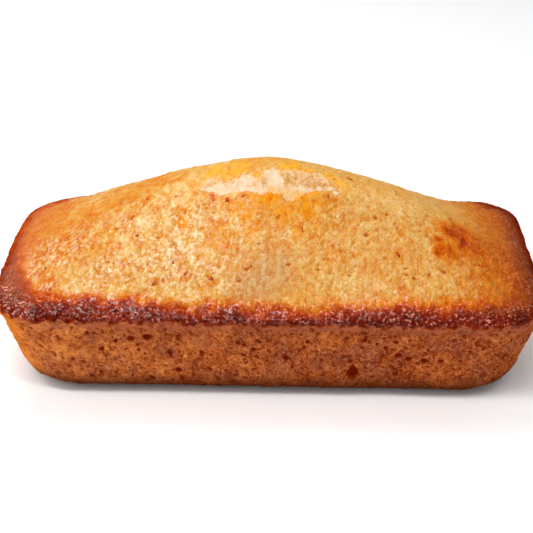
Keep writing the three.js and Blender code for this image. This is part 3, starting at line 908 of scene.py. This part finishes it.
crumb_colour = over(tree, times(tree, mask(tree, "amber"), 0.5), crumb_colour, honey)
fray = spread(tree, cloud(tree, 0.8, 4, 0.7, bias=1.5), 0.3, 0.7, -0.45, 0.45)
fray = times(tree, fray, spread(tree, mask(tree, "crumb"), 0.01, 0.2))
torn = spread(tree, plus(tree, mask(tree, "crumb"), fray), 0.2, 0.8)
colour = over(tree, torn, colour, crumb_colour)
plug(tree, colour, shader.inputs["Base Color"])
print("crumb laid in the split")

# %% [markdown]
# ## Gloss and fine bumps
# Grains finer than the mesh are bump. A thin clear coat gives the sticky places their sparkle, with
# gentle waves of its own: over the coarse bumps of the crust it would only turn hazy. A little light sinks
# in and comes out redder, as it does in crumb, so some subsurface scattering is added.

# %% Gloss, coat and bump
gloss = spread(tree, mask(tree, "lip"), 0.1, 0.9, 0.42, 0.34)
gloss = plus(tree, gloss, times(tree, torn, 0.3))
gloss = plus(tree, gloss, times(tree, mask(tree, "wall"), 0.2))
gloss = plus(tree, gloss, spread(tree, cloud(tree, 1.2, bias=7.0), 0.3, 0.7, -0.08, 0.08))
plug(tree, gloss, shader.inputs["Roughness"])
plug(tree, mask(tree, "sticky"), shader.inputs["Coat Weight"])
shader.inputs["Coat Roughness"].default_value = 0.1
shader.inputs["Specular IOR Level"].default_value = 0.0
shader.inputs["Subsurface Weight"].default_value = 0.08
shader.inputs["Subsurface Radius"].default_value = (1.0, 0.45, 0.18)
shader.inputs["Subsurface Scale"].default_value = 1.0 * MM
rough_grain = times(tree, cloud(tree, 0.45, 2, 0.6, bias=8.0), 0.45)
rough_grain = times(tree, rough_grain, lively)
small_beads = times(tree, bubbles(tree, 0.5, "SMOOTH_F1")[0], -0.25)
crumbs_of_sugar = times(tree, cloud(tree, 0.32, 1, 0.5, bias=12.0), 0.3)
small_beads = plus(tree, small_beads, crumbs_of_sugar)
small_beads = times(tree, small_beads, mask(tree, "lip"))
small_holes = times(tree, small_bubbles, -0.22)
fibres = times(tree, cloud(tree, 0.6, 3, 0.6, bias=20.0), 0.28)
small_holes = plus(tree, small_holes, fibres)
small_holes = times(tree, small_holes, mask(tree, "wall"))
fine = plus(tree, rough_grain, plus(tree, small_beads, small_holes))
fine = plus(tree, fine, times(tree, glinting_pearls, 0.1))
bump = put(tree, "Bump", Height=fine, Strength=1.0, Distance=1.0 * MM)
plug(tree, bump.outputs["Normal"], shader.inputs["Normal"])
glint_waves = times(tree, cloud(tree, 0.7, 1, 0.4, bias=16.0), 0.13)
glint_bump = put(tree, "Bump", Height=glint_waves, Strength=1.0, Distance=1.0 * MM)
plug(tree, glint_bump.outputs["Normal"], shader.inputs["Coat Normal"])
crust_mesh.materials.append(crust)
print(f"{len(tree.nodes)} nodes in the crust's material")

# %% [markdown]
# ## Flecks of almond skin
# Ground almonds bring bits of brown skin with them. They are thin chips, half sunk in the crust. Painted
# dots would stay flat, so each chip is a small closed lens of its own, and all chips are one mesh.

# %% Find the crust under a place in the plan
surface_normals = np.empty(len(points) * 3)
crust_mesh.vertices.foreach_get("normal", surface_normals)
surface_normals = surface_normals.reshape(-1, 3)
flat_finder = kdtree.KDTree(len(top_points))
for index, place in enumerate(raised[:len(top_points)].tolist()):
    flat_finder.insert((place[0], place[1], 0), index)
flat_finder.balance()
print(f"{len(top_points)} points of the top can carry a chip")

# %% Chips on the crust
CHIP_SIDES, CHIP_SEED = 7, 5
CHIP_LEAST, CHIP_MOST, CHIP_THICK = 0.22, 0.48, 0.16
LOOSE_CHIPS, SCATTER_SEED = 24, 41
FULL_TURN = 6.3


def chips(name, places):
    """One mesh of irregular little lenses, lying on the crust at places in the plan."""
    chance = random.Random(CHIP_SEED)
    corners, faces = [], []
    for place_x, place_y in places:
        index = flat_finder.find((place_x, place_y, 0))[1]
        middle = Vector(raised[index])
        up = Vector(surface_normals[index])
        turn = up.to_track_quat("Z", "Y").to_matrix()
        turn = turn @ Matrix.Rotation(chance.random() * FULL_TURN, 3, "Z")
        radius = CHIP_LEAST + (CHIP_MOST - CHIP_LEAST) * chance.random()
        narrow = 0.45 + 0.45 * chance.random()
        thick = CHIP_THICK * radius
        first = len(corners)
        for side in range(CHIP_SIDES):
            angle = 2 * math.pi * side / CHIP_SIDES
            reach = radius * (0.45 + 0.9 * chance.random())
            rim = Vector((reach * math.cos(angle), narrow * reach * math.sin(angle), 0))
            corners.append(middle + turn @ rim)
        corners.append(middle + up * thick)
        corners.append(middle - up * thick)
        for side in range(CHIP_SIDES):
            after = (side + 1) % CHIP_SIDES
            faces.append((first + side, first + after, first + CHIP_SIDES))
            faces.append((first + after, first + side, first + CHIP_SIDES + 1))
    mesh = bpy.data.meshes.new(name)
    mesh.from_pydata([corner * MM for corner in corners], [], faces)
    mesh.shade_smooth()
    piece = bpy.data.objects.new(name, mesh)
    bpy.context.scene.collection.objects.link(piece)
    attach(piece, "root")
    print(f"{name}: {len(places)} chips")
    return piece


scatter = random.Random(SCATTER_SEED)
loose = [points[scatter.choice(top_candidates)][:2] for _ in range(LOOSE_CHIPS)]
flecks = chips("almond_skin_flecks", [*FLECK_PLACES, *loose])

# %% Colour of the chips
SKIN_LIGHT, SKIN_DARK = (200, 98, 44), (172, 72, 30)
skin = bpy.data.materials.new("almond_skin")
skin.use_nodes = True
skin_tree = skin.node_tree
skin_shader = skin_tree.nodes["Principled BSDF"]
patchy_skin = spread(skin_tree, cloud(skin_tree, 1.0), 0.35, 0.65)
skin_colour = over(skin_tree, patchy_skin, light(*SKIN_LIGHT), light(*SKIN_DARK))
plug(skin_tree, skin_colour, skin_shader.inputs["Base Color"])
skin_shader.inputs["Roughness"].default_value = 0.6
skin_shader.inputs["Specular IOR Level"].default_value = 0.0
flecks.data.materials.append(skin)
print(f"{len(flecks.data.polygons)} faces of almond skin")

# %% [markdown]
# ## Floor and light
# The cake is shown on plain white, in soft light from above. A wide, bright sky does most of it, a
# softbox above and to the left models the grains, and a narrow strip over the front makes the beads of
# the rim glint. One softbox behind and a weak one in front lighten the shadows, and a white floor throws
# light back on the walls.

# %% Floor and light
FLOOR_HALF = 3.0
FLOOR_WHITE, FLOOR_ROUGHNESS, SKY_STRENGTH = (252, 252, 252), 0.9, 0.42
floor_mesh = bpy.data.meshes.new("floor")
FLOOR_SIGNS = [(-1, -1), (1, -1), (1, 1), (-1, 1)]
floor_corners = [(FLOOR_HALF * side, FLOOR_HALF * end, 0) for side, end in FLOOR_SIGNS]
floor_mesh.from_pydata(floor_corners, [], [(0, 1, 2, 3)])
floor = bpy.data.objects.new("floor", floor_mesh)
bpy.context.scene.collection.objects.link(floor)
paper = bpy.data.materials.new("pale_floor")
paper.use_nodes = True
paper_shader = paper.node_tree.nodes["Principled BSDF"]
paper_shader.inputs["Base Color"].default_value = light(*FLOOR_WHITE)
paper_shader.inputs["Roughness"].default_value = FLOOR_ROUGHNESS
floor_mesh.materials.append(paper)

sky = bpy.data.worlds.new("studio")
sky.use_nodes = True
sky.node_tree.nodes["Background"].inputs["Color"].default_value = (1, 1, 1, 1)
sky.node_tree.nodes["Background"].inputs["Strength"].default_value = SKY_STRENGTH
bpy.context.scene.world = sky
print(f"a floor {2 * FLOOR_HALF:.0f} m wide under a white sky")

# %% Softboxes
CAKE_MIDDLE = (0, 0, 0.015)


def softbox(name, place, size, watts):
    """A rectangular lamp that faces the cake."""
    lamp = bpy.data.lights.new(name, "AREA")
    lamp.shape = "RECTANGLE"
    lamp.size, lamp.size_y = size
    lamp.energy = watts
    box = bpy.data.objects.new(name, lamp)
    box.location = place
    box.rotation_euler = (Vector(CAKE_MIDDLE) - Vector(place)).to_track_quat("-Z", "Y").to_euler()
    bpy.context.scene.collection.objects.link(box)


softbox("key_softbox", (-0.3, -0.2, 0.36), (0.2, 0.36), 0.9)
softbox("back_softbox", (-0.12, 0.2, 0.42), (0.12, 0.36), 0.75)
softbox("rim_softbox", (-0.04, -0.17, 0.42), (0.5, 0.035), 1.0)
softbox("front_softbox", (0.15, -0.5, 0.2), (0.25, 0.25), 0.2)
bpy.context.scene.view_settings.view_transform = "Standard"
print("studio lit")

# %% [markdown]
# ## Camera
# The picture was taken from the front, a little from the right and from above, close enough for the ends
# to shrink away. The distance, the angles and the scale were found by fitting the cake's outline, so the
# lens follows from them. A small shift puts the cake where it lies in the photograph.

# %% Camera at the photograph's angle
PHOTO_SIDE = 533
PIXELS_PER_MM = 5.774
CAMERA_FAR = 195.0
CAMERA_RISE, CAMERA_TURN, CAMERA_ROLL = math.radians(28.5), math.radians(1.85), math.radians(0.1)
AIM = Vector((0, 0, 14.0))
PHOTO_MIDDLE = (270.0, 268.0)
SENSOR = 36.0

flat_reach = math.cos(CAMERA_RISE)
back_x, back_y = math.sin(CAMERA_TURN) * flat_reach, -math.cos(CAMERA_TURN) * flat_reach
back = Vector((back_x, back_y, math.sin(CAMERA_RISE)))
lens = bpy.data.cameras.new("photo_camera")
lens.sensor_width = SENSOR
lens.lens = SENSOR * PIXELS_PER_MM * CAMERA_FAR / PHOTO_SIDE
lens.shift_x = (PHOTO_SIDE / 2 - PHOTO_MIDDLE[0]) / PHOTO_SIDE
lens.shift_y = (PHOTO_MIDDLE[1] - PHOTO_SIDE / 2) / PHOTO_SIDE
lens.clip_start = 0.01
camera = bpy.data.objects.new("photo_camera", lens)
camera.location = (AIM + back * CAMERA_FAR) * MM
level = back.to_track_quat("Z", "Y").to_matrix()
camera.rotation_euler = (level @ Matrix.Rotation(-CAMERA_ROLL, 3, "Z")).to_euler()
bpy.context.scene.collection.objects.link(camera)
bpy.context.scene.camera = camera
print(f"a {lens.lens:.0f} mm lens, {CAMERA_FAR:.0f} mm from the cake")
